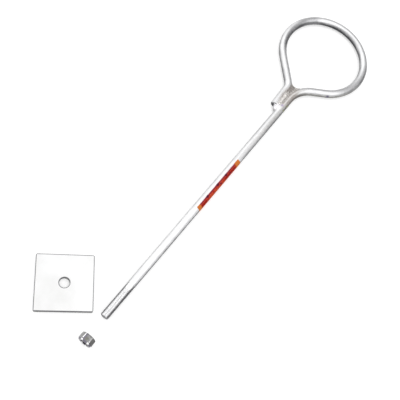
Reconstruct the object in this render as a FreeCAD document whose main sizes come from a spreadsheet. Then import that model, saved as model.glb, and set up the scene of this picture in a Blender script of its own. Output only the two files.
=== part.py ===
import FreeCAD, Part
import Sketcher
import math
import os

# Eye anchor rod for overhead lines: one round steel bar with a thread at one end and a wide eye bent at the
# other, whose tail comes back beside the shank and is welded to it. A printed film label is wrapped round the
# shank. The square plate washer and the hex nut that belong on the thread lie beside it on the floor.
# Millimetres. The origin is the eye's centre, in the bar's middle plane. +X runs from the threaded end to the
# eye, +Z is up, and the floor is half a bar below the origin.

doc = FreeCAD.newDocument("eye_anchor_rod")
sizes = doc.addObject("Spreadsheet::Sheet", "Sizes")

SIZES = [
    ("bar_diameter", 16.0, "round bar"),
    ("shank_reach", 720.0, "threaded end's face to the eye's centre"),
    ("eye_radius", 90.0, "eye, to the bar's centreline"),
    ("eye_offset", 3.4, "eye's centre, to the tail's side of the shank's axis"),
    ("near_leg_angle", 54.0, "leg that leaves the shank, from the shank's line"),
    ("near_bend_radius", 62.0, "bend from the shank into that leg"),
    ("far_leg_angle", 44.5, "leg that comes back to the tail"),
    ("far_bend_radius", 28.0, "bend from that leg into the tail"),
    ("tail_length", 48.0, "straight tail beside the shank"),
    ("tail_splay", 2.5, "tail's angle to the shank"),
    ("tail_gap", 0.1, "between the tail's end and the shank"),
    ("thread_diameter", 15.6, "over the crests of a thread that leaves room for zinc"),
    ("thread_length", 72.0, "from the end's face"),
    ("thread_runout", 1.5, "cone between the thread and the shank"),
    ("end_chamfer", 1.5, "on the threaded end"),
    ("weld_lead", 12.8, "weld's toe on the shank, ahead of the tail's end"),
    ("weld_length", 61.0, "tail's end to the crotch"),
    ("weld_web", 11.0, "thickness of the metal between the two bars"),
    ("weld_run_radius", 3.2, "rounded top of a weld run"),
    ("weld_run_taper", 4.5, "where a run starts and stops"),
    ("weld_run_pitch", 5.6, "between the two runs on one face"),
    ("weld_run_level", 4.2, "run's axis above the bar's middle plane"),
    ("weld_run_end", 4.0, "last run's stop before the crotch"),
    ("crotch_radius", 12.0, "hollow of the weld between the legs"),
    ("crotch_depth", 5.0, "how far that hollow runs up the legs"),
    ("label_start", 262.0, "from the threaded end's face"),
    ("label_length", 132.0, "along the shank"),
    ("label_wrap", 140.0, "degrees round the shank, from its top"),
    ("label_glue", 0.1, "adhesive between the shank and the film"),
    ("label_film", 0.25, "thickness"),
    ("label_corner", 1.5, "rounded corners"),
    ("plate_side", 100.0, "square plate"),
    ("plate_thickness", 8.0, "square plate"),
    ("plate_corner", 2.5, "rounding of its four corners"),
    ("plate_edge", 0.6, "bevel that breaks the edges of its faces"),
    ("hole_clearance", 2.0, "plate's hole over the bar"),
    ("plate_ahead", 2.4, "plate's centre past the threaded end, along the rod"),
    ("plate_aside", 89.7, "plate's centre to the shank's axis"),
    ("plate_turn", -51.2, "degrees, plate's edge to the rod"),
    ("nut_flats", 24.0, "across the flats"),
    ("nut_height", 14.8, "face to face"),
    ("nut_bore", 13.84, "thread's inner diameter"),
    ("nut_countersink", 17.0, "mouth of the bore"),
    ("nut_face", 22.8, "round face inside the chamfer"),
    ("nut_chamfer_angle", 30.0, "degrees"),
    ("nut_behind", 48.0, "nut's middle beyond the threaded end"),
    ("nut_aside", 3.0, "nut's axis to the right of the shank's axis"),
]
for row, (alias, number, note) in enumerate(SIZES, start=1):
    sizes.set(f"A{row}", alias)
    sizes.set(f"B{row}", str(number))
    sizes.set(f"C{row}", note)
    sizes.setAlias(f"B{row}", alias)
doc.recompute()


def value(expression):
    """Number that an expression over the sheet and the sketches has now."""
    result = sizes.evalExpression(expression)
    return float(getattr(result, "Value", result))


def plane(body, role):
    """One of the body's own origin planes."""
    return next(item for item in body.Origin.OriginFeatures if item.Role == role)


def sketch_on(body, name, role, offset=(None, None, None), turn=None):
    """Empty sketch on an origin plane; offsets and turn are expressions along and in that plane."""
    sketch = body.newObject("Sketcher::SketchObject", name)
    sketch.AttachmentSupport = [(plane(body, role), "")]
    sketch.MapMode = "FlatFace"
    for axis, expression in zip("xyz", offset):
        if expression is not None:
            sketch.setExpression(f".AttachmentOffset.Base.{axis}", expression)
    if turn is not None:
        sketch.setExpression(".AttachmentOffset.Rotation.Angle", turn)
    return sketch


def constrain(sketch, name, expression, kind, *places):
    """Named dimension of a sketch, bound to an expression."""
    number = value(expression)
    if kind == "Angle":
        number = math.radians(number)
    index = sketch.addConstraint(Sketcher.Constraint(kind, *places, number))
    sketch.renameConstraint(index, name)
    sketch.setExpression(f"Constraints.{name}", expression)


def outline(sketch, corners):
    """Closed polygon whose corners are pairs of expressions, each held from the sketch's origin."""
    points = [FreeCAD.Vector(value(across), value(up), 0) for across, up in corners]
    for start, end in zip(points, points[1:] + points[:1]):
        sketch.addGeometry(Part.LineSegment(start, end), False)
    for side in range(len(corners)):
        sketch.addConstraint(Sketcher.Constraint("Coincident", side, 2, (side + 1) % len(corners), 1))
    for side, (across, up) in enumerate(corners):
        for kind, expression, axis in (("DistanceX", across, -2), ("DistanceY", up, -1)):
            if expression == "0":
                sketch.addConstraint(Sketcher.Constraint("PointOnObject", side, 1, axis))
            else:
                constrain(sketch, f"corner_{side + 1}_{kind[-1].lower()}", expression, kind, -1, 1, side, 1)


def axis_line(sketch):
    """Construction line along the sketch's first axis, from its origin."""
    length = "Sizes.bar_diameter"
    line = sketch.addGeometry(Part.LineSegment(FreeCAD.Vector(), FreeCAD.Vector(value(length), 0, 0)), True)
    sketch.addConstraint(Sketcher.Constraint("Horizontal", line))
    sketch.addConstraint(Sketcher.Constraint("Coincident", line, 1, -1, 1))
    constrain(sketch, "axis_length", length, "Distance", line)


def ring(x, y, radius):
    """Circle in a sketch."""
    return Part.Circle(FreeCAD.Vector(x, y, 0), FreeCAD.Vector(0, 0, 1), radius)


def turned(body, kind, name, sketch, angle="360"):
    """Revolution or Groove of a sketch about its construction line."""
    feature = body.newObject(f"PartDesign::{kind}", name)
    feature.Profile = sketch
    feature.ReferenceAxis = (sketch, ["Axis0"])
    feature.setExpression("Angle", angle)
    sketch.Visibility = False
    return feature


def straight(body, kind, name, sketch, length, both_ways=False):
    """Pad or Pocket of a sketch, to one side or half to each side of its plane."""
    feature = body.newObject(f"PartDesign::{kind}", name)
    feature.Profile = sketch
    feature.SideType = "Symmetric" if both_ways else "One side"
    feature.setExpression("Length", length)
    sketch.Visibility = False
    return feature


def mirrored(body, name, originals, role):
    """Mirror of features in one of the body's origin planes."""
    feature = body.newObject("PartDesign::Mirrored", name)
    feature.Originals = originals
    feature.MirrorPlane = (plane(body, role), [""])
    body.Tip = feature
    return feature


def eased(body, kind, name, base, wanted, size):
    """Fillet or Chamfer of those of the base's edges whose two ends pass a test."""
    chosen = [f"Edge{number}" for number, edge in enumerate(base.Shape.Edges, start=1)
              if wanted(edge.firstVertex().Point, edge.lastVertex().Point)]
    feature = body.newObject(f"PartDesign::{kind}", name)
    feature.Base = (base, chosen)
    feature.setExpression("Radius" if kind == "Fillet" else "Size", size)
    doc.recompute()
    return feature


# The bar's centreline, seven stretches in the middle plane: shank, near bend, near leg, eye, far leg, far bend
# and tail. Each runs smoothly into the next.
rod = doc.addObject("PartDesign::Body", "EyeRod")
rod.Label = "eye_rod"

near_angle = math.radians(value("Sizes.near_leg_angle"))
far_angle = math.radians(value("Sizes.far_leg_angle"))
splay = math.radians(value("Sizes.tail_splay"))
eye_radius = value("Sizes.eye_radius")
near_radius = value("Sizes.near_bend_radius")
far_radius = value("Sizes.far_bend_radius")
tail_length = value("Sizes.tail_length")
shank_level = -value("Sizes.eye_offset")
tail_end_level = shank_level + value("Sizes.bar_diameter + Sizes.tail_gap")


def along(angle, length=1.0):
    """Vector of a length at an angle from +X, in the middle plane."""
    return FreeCAD.Vector(length * math.cos(angle), length * math.sin(angle), 0)


eye_start = along(-near_angle - math.pi / 2, eye_radius)
eye_end = along(far_angle + math.pi / 2, eye_radius)
near_setback = near_radius * math.tan(near_angle / 2)
near_corner = eye_start - along(-near_angle, (shank_level - eye_start.y) / math.sin(near_angle))
near_bend_start = near_corner - along(0, near_setback)
near_bend_end = near_corner + along(-near_angle, near_setback)
far_setback = far_radius * math.tan((far_angle - splay) / 2)
far_corner_level = tail_end_level + (tail_length + far_setback) * math.sin(splay)
far_corner = eye_end - along(far_angle, (eye_end.y - far_corner_level) / math.sin(far_angle))
far_bend_start = far_corner + along(far_angle, far_setback)
far_bend_end = far_corner - along(splay, far_setback)
tail_end = far_bend_end - along(splay, tail_length)
shank_end = FreeCAD.Vector(-value("Sizes.shank_reach"), shank_level, 0)


def arc(centre, radius, first, last):
    """Arc from one angle to another, anticlockwise."""
    return Part.ArcOfCircle(Part.Circle(centre, FreeCAD.Vector(0, 0, 1), radius), first, last)


path = sketch_on(rod, "BarPath", "XY_Plane")
SHANK, NEAR_BEND, NEAR_LEG, EYE, FAR_LEG, FAR_BEND, TAIL = range(7)
path.addGeometry(Part.LineSegment(shank_end, near_bend_start), False)
path.addGeometry(arc(near_bend_start - along(math.pi / 2, near_radius), near_radius,
                     math.pi / 2 - near_angle, math.pi / 2), False)
path.addGeometry(Part.LineSegment(near_bend_end, eye_start), False)
path.addGeometry(arc(FreeCAD.Vector(), eye_radius, -near_angle - math.pi / 2, far_angle + math.pi / 2), False)
path.addGeometry(Part.LineSegment(far_bend_start, eye_end), False)
path.addGeometry(arc(far_bend_end + along(splay + math.pi / 2, far_radius), far_radius,
                     splay - math.pi / 2, far_angle - math.pi / 2), False)
path.addGeometry(Part.LineSegment(tail_end, far_bend_end), False)

START, END, CENTRE = 1, 2, 3
ORIGIN = (-1, 1)
for first, first_point, second, second_point in ((SHANK, END, NEAR_BEND, END),
                                                 (NEAR_BEND, START, NEAR_LEG, START),
                                                 (NEAR_LEG, END, EYE, START),
                                                 (EYE, END, FAR_LEG, END),
                                                 (FAR_LEG, START, FAR_BEND, END),
                                                 (FAR_BEND, START, TAIL, END)):
    path.addConstraint(Sketcher.Constraint("Tangent", first, first_point, second, second_point))
path.addConstraint(Sketcher.Constraint("Horizontal", SHANK))
path.addConstraint(Sketcher.Constraint("Coincident", EYE, CENTRE, *ORIGIN))
constrain(path, "shank_reach", "Sizes.shank_reach", "DistanceX", SHANK, START, *ORIGIN)
constrain(path, "eye_offset", "Sizes.eye_offset", "DistanceY", SHANK, START, *ORIGIN)
constrain(path, "eye_radius", "Sizes.eye_radius", "Radius", EYE)
constrain(path, "near_bend_radius", "Sizes.near_bend_radius", "Radius", NEAR_BEND)
constrain(path, "far_bend_radius", "Sizes.far_bend_radius", "Radius", FAR_BEND)
constrain(path, "near_leg_angle", "-Sizes.near_leg_angle", "Angle", NEAR_LEG)
constrain(path, "far_leg_angle", "Sizes.far_leg_angle", "Angle", FAR_LEG)
constrain(path, "tail_splay", "Sizes.tail_splay", "Angle", TAIL)
constrain(path, "tail_length", "Sizes.tail_length", "Distance", TAIL)
constrain(path, "tail_level", "Sizes.bar_diameter + Sizes.tail_gap", "DistanceY", SHANK, START, TAIL, START)
tail_end_place = path.addConstraint(Sketcher.Constraint("DistanceX", TAIL, START, *ORIGIN, -tail_end.x))
path.renameConstraint(tail_end_place, "tail_end")
path.setDriving(tail_end_place, False)
doc.recompute()

# Weld metal between the tail and the shank. It fills the groove from a toe on the shank, past the tail's cut
# end, up to the crotch, where it ends in a hollow. It is made first, so that its hollow can't cut the bar.
TAIL_BITE = 0.19       # shares of the bar's diameter that set the web's hidden corners, inside the bars
TAIL_INSET = 0.06
FAR_LEG_BITE = 0.37
NEAR_LEG_BITE = 0.25
SHANK_AXIS = "-Sizes.eye_offset"
TAIL_AXIS = "(Sizes.bar_diameter + Sizes.tail_gap - Sizes.eye_offset)"
TAIL_END = "-BarPath.Constraints.tail_end / 1 mm"
CROTCH = f"{TAIL_END} + Sizes.weld_length"

web = sketch_on(rod, "WeldWebOutline", "XY_Plane")
outline(web, [
    (f"{TAIL_END} - Sizes.weld_lead", SHANK_AXIS),
    (f"{CROTCH} + Sizes.crotch_depth", f"{SHANK_AXIS} - {NEAR_LEG_BITE} * Sizes.bar_diameter"),
    (f"{CROTCH} + Sizes.crotch_depth", f"{TAIL_AXIS} + {FAR_LEG_BITE} * Sizes.bar_diameter"),
    (f"{TAIL_END} + {TAIL_INSET} * Sizes.bar_diameter", f"{TAIL_AXIS} + {TAIL_BITE} * Sizes.bar_diameter"),
])
straight(rod, "Pad", "WeldWeb", web, "Sizes.weld_web", both_ways=True)

hollow = sketch_on(rod, "CrotchHollow", "XY_Plane")
HOLLOW_X = f"{CROTCH} + Sizes.crotch_radius"
BETWEEN_BARS = f"({SHANK_AXIS} + {TAIL_AXIS}) / 2"
circle = hollow.addGeometry(ring(value(HOLLOW_X), value(BETWEEN_BARS), value("Sizes.crotch_radius")), False)
constrain(hollow, "radius", "Sizes.crotch_radius", "Radius", circle)
constrain(hollow, "centre_x", HOLLOW_X, "DistanceX", *ORIGIN, circle, CENTRE)
constrain(hollow, "centre_y", BETWEEN_BARS, "DistanceY", *ORIGIN, circle, CENTRE)
straight(rod, "Pocket", "Crotch", hollow, "2 * Sizes.weld_web", both_ways=True)
doc.recompute()

# Round bar swept along its centreline.
section = sketch_on(rod, "BarSection", "YZ_Plane", (None, None, "-Sizes.shank_reach"))
circle = section.addGeometry(ring(shank_level, 0, value("Sizes.bar_diameter / 2")), False)
constrain(section, "bar_diameter", "Sizes.bar_diameter", "Diameter", circle)
section.addConstraint(Sketcher.Constraint("PointOnObject", circle, CENTRE, -1))
constrain(section, "offset", SHANK_AXIS, "DistanceX", *ORIGIN, circle, CENTRE)
bar = rod.newObject("PartDesign::AdditivePipe", "Bar")
bar.Profile = section
bar.Spine = (path, [])
section.Visibility = False
path.Visibility = False
doc.recompute()

# Threaded end: turned to the thread's outer size, chamfered at the end, with a short cone up to the shank.
CUT_ROOM = "Sizes.bar_diameter"
END_FACE = "-Sizes.shank_reach"
THREAD_RADIUS = "Sizes.thread_diameter / 2"
turning = sketch_on(rod, "ThreadedEndCut", "XY_Plane", (None, SHANK_AXIS, None))
outline(turning, [
    (f"{END_FACE}", f"{THREAD_RADIUS} - Sizes.end_chamfer"),
    (f"{END_FACE} + Sizes.end_chamfer", THREAD_RADIUS),
    (f"{END_FACE} + Sizes.thread_length", THREAD_RADIUS),
    (f"{END_FACE} + Sizes.thread_length + Sizes.thread_runout", CUT_ROOM),
    (f"{END_FACE} - Sizes.end_chamfer", CUT_ROOM),
    (f"{END_FACE} - Sizes.end_chamfer", f"{THREAD_RADIUS} - Sizes.end_chamfer"),
])
axis_line(turning)
turned(rod, "Groove", "ThreadedEnd", turning)
doc.recompute()

# Two rounded weld runs side by side on each face of the weld, tapered where they start and stop. They lie
# halfway between the shank's direction and the tail's.
weld_runs = []
RUN_TOP = "Sizes.weld_run_radius"
RUN_TAPER = "Sizes.weld_run_taper"
RUN_LENGTH = f"(Sizes.weld_length + {RUN_TAPER} - Sizes.weld_run_end)"
for name, side in (("ShankRun", -1), ("TailRun", 1)):
    run_place = (f"{TAIL_END} - {RUN_TAPER}",
                 f"{BETWEEN_BARS} + {side / 2} * Sizes.weld_run_pitch",
                 "Sizes.weld_run_level")
    run = sketch_on(rod, f"{name}Profile", "XY_Plane", run_place, "Sizes.tail_splay / 2")
    outline(run, [("0", "0"), (RUN_LENGTH, "0"), (f"{RUN_LENGTH} - {RUN_TAPER}", RUN_TOP), (RUN_TAPER, RUN_TOP)])
    axis_line(run)
    weld_runs.append(turned(rod, "Revolution", name, run))
    doc.recompute()
mirrored(rod, "UndersideRuns", weld_runs, "XY_Plane")
doc.recompute()

# Label: film with rounded corners, wrapped round the shank from its top down the right-hand side.
label = doc.addObject("PartDesign::Body", "Label")
label.Label = "label"
film = sketch_on(label, "FilmEdge", "XZ_Plane", (None, None, "Sizes.eye_offset"))
LABEL_START = f"{END_FACE} + Sizes.label_start"
LABEL_INSIDE = "Sizes.bar_diameter / 2 + Sizes.label_glue"
outline(film, [
    (LABEL_START, LABEL_INSIDE),
    (f"{LABEL_START} + Sizes.label_length", LABEL_INSIDE),
    (f"{LABEL_START} + Sizes.label_length", f"{LABEL_INSIDE} + Sizes.label_film"),
    (LABEL_START, f"{LABEL_INSIDE} + Sizes.label_film"),
])
axis_line(film)
wrapped = turned(label, "Revolution", "Film", film, "Sizes.label_wrap")
doc.recompute()


def through_film(low, high):
    """Short edge through the film at one of its corners."""
    return (high - low).Length < value("2 * Sizes.label_film")


eased(label, "Fillet", "LabelCorners", wrapped, through_film, "Sizes.label_corner")

# Square plate washer, cut from flat bar, with one hole for the rod.
washer = doc.addObject("PartDesign::Body", "SquarePlate")
washer.Label = "square_plate"
square = sketch_on(washer, "PlateOutline", "XY_Plane")
HALF_PLATE = "Sizes.plate_side / 2"
outline(square, [(f"-{HALF_PLATE}", f"-{HALF_PLATE}"), (HALF_PLATE, f"-{HALF_PLATE}"),
                 (HALF_PLATE, HALF_PLATE), (f"-{HALF_PLATE}", HALF_PLATE)])
slab = straight(washer, "Pad", "Plate", square, "Sizes.plate_thickness")
doc.recompute()


def upright(low, high):
    """Edge from one face of the plate to the other."""
    return abs(high.z - low.z) > value("Sizes.plate_thickness / 2")


def level(low, high):
    """Edge in one face of the plate."""
    return not upright(low, high)


cornered = eased(washer, "Fillet", "PlateCorners", slab, upright, "Sizes.plate_corner")
eased(washer, "Chamfer", "PlateEdges", cornered, level, "Sizes.plate_edge")
bore = sketch_on(washer, "HoleOutline", "XY_Plane")
circle = bore.addGeometry(ring(0, 0, value("Sizes.bar_diameter / 2")), False)
bore.addConstraint(Sketcher.Constraint("Coincident", circle, CENTRE, *ORIGIN))
constrain(bore, "hole", "Sizes.bar_diameter + Sizes.hole_clearance", "Diameter", circle)
straight(washer, "Pocket", "Hole", bore, "2 * Sizes.plate_thickness", both_ways=True)
washer.setExpression(".Placement.Base.x", "Sizes.plate_ahead - Sizes.shank_reach")
washer.setExpression(".Placement.Base.y", "Sizes.plate_aside - Sizes.eye_offset")
washer.setExpression(".Placement.Base.z", "-Sizes.bar_diameter / 2")
washer.setExpression(".Placement.Rotation.Angle", "Sizes.plate_turn")

# Hex nut on one of its flats, its axis along X. Both faces are chamfered, and the bore is countersunk.
nut = doc.addObject("PartDesign::Body", "HexNut")
nut.Label = "hex_nut"
hexagon = sketch_on(nut, "HexOutline", "YZ_Plane")
HALF_SIDE = "Sizes.nut_flats / 2 * tan(30)"
HALF_FLATS = "Sizes.nut_flats / 2"
HALF_CORNERS = "Sizes.nut_flats / 2 / cos(30)"
outline(hexagon, [(HALF_SIDE, f"-{HALF_FLATS}"), (HALF_CORNERS, "0"),
                  (HALF_SIDE, HALF_FLATS), (f"-{HALF_SIDE}", HALF_FLATS),
                  (f"-{HALF_CORNERS}", "0"), (f"-{HALF_SIDE}", f"-{HALF_FLATS}")])
straight(nut, "Pad", "Hexagon", hexagon, "Sizes.nut_height", both_ways=True)

FACE = "Sizes.nut_height / 2"
BEYOND = "Sizes.nut_flats"
chamfer = sketch_on(nut, "ChamferCut", "XY_Plane")
outline(chamfer, [(FACE, "Sizes.nut_face / 2"), (FACE, BEYOND),
                  (f"{FACE} - ({BEYOND} - Sizes.nut_face / 2) * tan(Sizes.nut_chamfer_angle)", BEYOND)])
axis_line(chamfer)
chamfered = turned(nut, "Groove", "Chamfer", chamfer)
doc.recompute()
mirrored(nut, "OtherChamfer", [chamfered], "YZ_Plane")
doc.recompute()

mouth = sketch_on(nut, "BoreCut", "XY_Plane")
MOUTH = "Sizes.nut_countersink / 2"
BORE = "Sizes.nut_bore / 2"
outline(mouth, [(f"-{FACE}", "0"), (FACE, "0"), (FACE, MOUTH), (f"{FACE} - {MOUTH} + {BORE}", BORE),
                (f"-{FACE} + {MOUTH} - {BORE}", BORE), (f"-{FACE}", MOUTH)])
axis_line(mouth)
turned(nut, "Groove", "Bore", mouth)
nut.setExpression(".Placement.Base.x", "-Sizes.shank_reach - Sizes.nut_behind")
nut.setExpression(".Placement.Base.y", "-Sizes.eye_offset - Sizes.nut_aside")
nut.setExpression(".Placement.Base.z", "(Sizes.nut_flats - Sizes.bar_diameter) / 2")
doc.recompute()

for item in doc.Objects:
    if "Invalid" in item.State or "Error" in item.State:
        raise RuntimeError(f"{item.Name} failed: {item.State}")

os.makedirs("parts", exist_ok=True)
for piece in (rod, label, washer, nut):
    shape = piece.Shape
    if shape.isNull() or not shape.isValid() or len(shape.Solids) != 1:
        raise RuntimeError(f"{piece.Label} is not one sound solid")
    shape.exportStep(f"parts/{piece.Label}.step")
    box = shape.BoundBox
    print(f"{piece.Label}: {shape.Volume:.1f} mm3, x {box.XMin:.2f} to {box.XMax:.2f}, "
          f"y {box.YMin:.2f} to {box.YMax:.2f}, z {box.ZMin:.2f} to {box.ZMax:.2f}, {len(shape.Faces)} faces")
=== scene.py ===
import functools
import math
import random

import bmesh
import bpy
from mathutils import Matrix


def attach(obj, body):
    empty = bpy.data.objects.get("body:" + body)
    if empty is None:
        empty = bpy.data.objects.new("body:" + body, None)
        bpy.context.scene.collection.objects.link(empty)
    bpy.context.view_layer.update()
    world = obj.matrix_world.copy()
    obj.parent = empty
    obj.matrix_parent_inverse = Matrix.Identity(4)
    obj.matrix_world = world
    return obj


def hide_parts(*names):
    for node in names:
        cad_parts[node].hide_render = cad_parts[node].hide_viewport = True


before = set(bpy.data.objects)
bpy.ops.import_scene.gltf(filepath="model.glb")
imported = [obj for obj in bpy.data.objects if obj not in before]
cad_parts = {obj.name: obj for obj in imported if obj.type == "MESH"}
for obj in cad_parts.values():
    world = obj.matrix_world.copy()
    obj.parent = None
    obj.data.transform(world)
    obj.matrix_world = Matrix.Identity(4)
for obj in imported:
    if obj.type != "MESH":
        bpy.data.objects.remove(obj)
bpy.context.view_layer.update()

# Eye rod: a round mild steel bar, 16 mm, with a rolled thread at one end. The other end is bent hot into a
# wide eye, and its tail comes back beside the shank. The whole rod is hot-dip galvanised after it is made.
MM = 0.001
BAR_RADIUS = 8 * MM
BAR_SIDES = 48
SHANK_Y = -3.4 * MM
END_FACE_X = -720 * MM
EYE_RADIUS = 90 * MM
NEAR_LEG = math.radians(54)
NEAR_BEND_RADIUS = 62 * MM
FAR_LEG = math.radians(44.5)
FAR_BEND_RADIUS = 28 * MM
TAIL_LENGTH = 48 * MM
TAIL_SPLAY = math.radians(2.5)
TAIL_END_Y = SHANK_Y + 16.1 * MM
TAIL_RIM = 0.5 * MM

THREAD_CREST = 7.8 * MM
THREAD_ROOT = 6.95 * MM
THREAD_PITCH = 2 * MM
THREAD_LENGTH = 72 * MM
THREAD_RUNOUT = 1.5 * MM
THREAD_INTO_SHANK = 1.4 * MM
END_CHAMFER = 1.5 * MM
CREST_FLAT = 0.32               # shares of the pitch: the zinc fills the roots and flattens the crests
ROOT_FLAT = 0.25
SPARE_TURNS = 3                 # wound beyond the length that is cut from the thread
OVERLAP = 0.1 * MM              # how far two solids reach into each other before they are united or cut
CLOCKWISE = (0, 0, 1)           # axes for the spin operator, seen from above
ANTICLOCKWISE = (0, 0, -1)
NEAR_NOTHING = 0.001 * MM


def heading(angle, length=1.0):
    """Step of a length in the bar's middle plane, at an angle from +X."""
    return (length * math.cos(angle), length * math.sin(angle), 0.0)


def step(point, move):
    """Point moved by a step."""
    return tuple(a + b for a, b in zip(point, move))


def distance(first, second):
    """Distance between two points in the middle plane."""
    return math.hypot(first[0] - second[0], first[1] - second[1])


eye_start = heading(-NEAR_LEG - math.pi / 2, EYE_RADIUS)
near_setback = NEAR_BEND_RADIUS * math.tan(NEAR_LEG / 2)
near_corner = step(eye_start, heading(-NEAR_LEG, -(SHANK_Y - eye_start[1]) / math.sin(NEAR_LEG)))
near_bend_start = step(near_corner, (-near_setback, 0, 0))
near_bend_end = step(near_corner, heading(-NEAR_LEG, near_setback))
eye_end = heading(FAR_LEG + math.pi / 2, EYE_RADIUS)
far_setback = FAR_BEND_RADIUS * math.tan((FAR_LEG - TAIL_SPLAY) / 2)
far_corner_y = TAIL_END_Y + (TAIL_LENGTH + far_setback) * math.sin(TAIL_SPLAY)
far_corner = step(eye_end, heading(FAR_LEG, -(eye_end[1] - far_corner_y) / math.sin(FAR_LEG)))
far_bend_start = step(far_corner, heading(FAR_LEG, far_setback))
far_bend_end = step(far_corner, heading(TAIL_SPLAY, -far_setback))
tail_end = step(far_bend_end, heading(TAIL_SPLAY, -TAIL_LENGTH))


def choose(piece):
    """Makes a piece the active one and the only one selected."""
    bpy.ops.object.select_all(action="DESELECT")
    bpy.context.view_layer.objects.active = piece
    piece.select_set(True)


def open_piece(piece):
    """Opens one piece alone in edit mode."""
    if bpy.context.mode != "OBJECT":
        bpy.ops.object.mode_set(mode="OBJECT")
    choose(piece)
    bpy.ops.object.mode_set(mode="EDIT")


def settle(name):
    """Names the active piece and fixes its place, turn and scale in its mesh."""
    piece = bpy.context.object
    piece.name = name
    piece.data.name = name
    choose(piece)
    bpy.ops.object.transform_apply(location=True, rotation=True, scale=True)
    return piece


def new_piece(name):
    """Settles the primitive just added and opens it in edit mode."""
    piece = settle(name)
    open_piece(piece)
    return piece


def pick(piece, kind, wanted):
    """Selects only those vertices, edges or faces of the open piece that pass a test."""
    bpy.ops.mesh.select_mode(type=kind)
    bpy.ops.mesh.select_all(action="DESELECT")
    mesh = bmesh.from_edit_mesh(piece.data)
    for part in {"VERT": mesh.verts, "EDGE": mesh.edges, "FACE": mesh.faces}[kind]:
        if wanted(part):
            part.select_set(True)
    bmesh.update_edit_mesh(piece.data)


def pick_all():
    """Selects the whole of the open piece."""
    bpy.ops.mesh.select_all(action="SELECT")


def middle(part):
    """Middle of an edge or a face."""
    corners = [corner.co for corner in part.verts]
    return sum(corners[1:], corners[0].copy()) / len(corners)


def extrude(*move):
    """Extrudes what is selected by a step."""
    bpy.ops.mesh.extrude_region_move(TRANSFORM_OT_translate={"value": move})


def resize(centre, *factors):
    """Scales what is selected about a point."""
    bpy.ops.transform.resize(value=factors, center_override=centre)


def draw_out(direction, length, parts):
    """Extrudes the selected end of the bar straight on, in equal parts."""
    for _ in range(parts):
        extrude(*heading(direction, length / parts))


def close_piece(merge=0.0):
    """Merges doubles, points the faces outwards and leaves edit mode."""
    pick_all()
    if merge:
        bpy.ops.mesh.remove_doubles(threshold=merge)
    bpy.ops.mesh.normals_make_consistent(inside=False)
    bpy.ops.object.mode_set(mode="OBJECT")


def shift(piece, move):
    """Moves a piece's mesh and leaves its object at the origin."""
    open_piece(piece)
    pick_all()
    bpy.ops.transform.translate(value=move)
    bpy.ops.object.mode_set(mode="OBJECT")


def apply_modifier(piece, kind, **settings):
    """Adds a modifier with these settings and applies it."""
    choose(piece)
    modifier = piece.modifiers.new(kind.lower(), kind)
    for setting, value in settings.items():
        setattr(modifier, setting, value)
    bpy.ops.object.modifier_apply(modifier=modifier.name)


def combine(piece, tool, operation):
    """Unites a piece with another solid, cuts it or trims it by that solid, which is used up."""
    apply_modifier(piece, "BOOLEAN", object=tool, operation=operation, solver="EXACT")
    bpy.data.objects.remove(tool, do_unlink=True)


def smooth(piece, degrees):
    """Shades a piece smooth, apart from edges sharper than an angle."""
    choose(piece)
    bpy.ops.object.shade_smooth_by_angle(angle=math.radians(degrees))


def threaded_bar(name, crest, root, length):
    """Solid with a right-hand thread round +X, from the origin: one tooth's outline wound round the axis."""
    height = crest - root
    foot = THREAD_PITCH * (1 - ROOT_FLAT)
    bpy.ops.mesh.primitive_plane_add(size=1, location=(foot / 2, root + height / 2, 0))
    bpy.context.object.scale = (foot, height, 1)
    tooth = new_piece(name)
    pick(tooth, "EDGE", lambda edge: middle(edge).y > crest - height / 4)
    resize((foot / 2, crest, 0), CREST_FLAT / (1 - ROOT_FLAT), 1, 1)
    pick_all()
    bpy.ops.mesh.delete(type="ONLY_FACE")
    pick(tooth, "EDGE", lambda edge: middle(edge).y < root + height / 4)
    bpy.ops.mesh.delete(type="EDGE")
    pick(tooth, "VERT", lambda corner: corner.co.y < root + height / 4 and corner.co.x > foot / 2)
    extrude(THREAD_PITCH - foot, 0, 0)
    bpy.ops.object.mode_set(mode="OBJECT")
    turns = math.ceil(length / THREAD_PITCH) + SPARE_TURNS
    apply_modifier(tooth, "SCREW", axis="X", angle=2 * math.pi, screw_offset=THREAD_PITCH, iterations=turns,
                   steps=BAR_SIDES, render_steps=BAR_SIDES, use_merge_vertices=True,
                   merge_threshold=NEAR_NOTHING)
    open_piece(tooth)
    start = SPARE_TURNS / 2 * THREAD_PITCH
    for place, outwards in ((start, -1), (start + length, 1)):
        pick_all()
        bpy.ops.mesh.bisect(plane_co=(place, 0, 0), plane_no=(outwards, 0, 0), use_fill=True,
                            clear_outer=True, threshold=NEAR_NOTHING)
    pick_all()
    bpy.ops.transform.translate(value=(-start, 0, 0))
    close_piece(merge=NEAR_NOTHING)
    return tooth


# The bar: a disc where the thread ends, drawn out along the shank and spun round the bends and the eye
shank_start_x = END_FACE_X + THREAD_LENGTH
inner_radius = THREAD_ROOT - OVERLAP
bpy.ops.object.select_all(action="DESELECT")
bpy.ops.mesh.primitive_circle_add(vertices=BAR_SIDES, radius=inner_radius, fill_type="NGON",
                                  location=(shank_start_x, SHANK_Y, 0), rotation=(0, math.pi / 2, 0))
rod = new_piece("galvanised_eye_rod")
extrude(THREAD_RUNOUT, 0, 0)
widen = BAR_RADIUS / inner_radius
resize((shank_start_x + THREAD_RUNOUT, SHANK_Y, 0), 1, widen, widen)
draw_out(0, near_bend_start[0] - shank_start_x - THREAD_RUNOUT, parts=120)
near_bend_centre = step(near_bend_start, (0, -NEAR_BEND_RADIUS, 0))
bpy.ops.mesh.spin(steps=24, angle=NEAR_LEG, center=near_bend_centre, axis=CLOCKWISE)
draw_out(-NEAR_LEG, distance(near_bend_end, eye_start), parts=8)
bpy.ops.mesh.spin(steps=140, angle=NEAR_LEG + math.pi + FAR_LEG, center=(0, 0, 0), axis=ANTICLOCKWISE)
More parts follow.
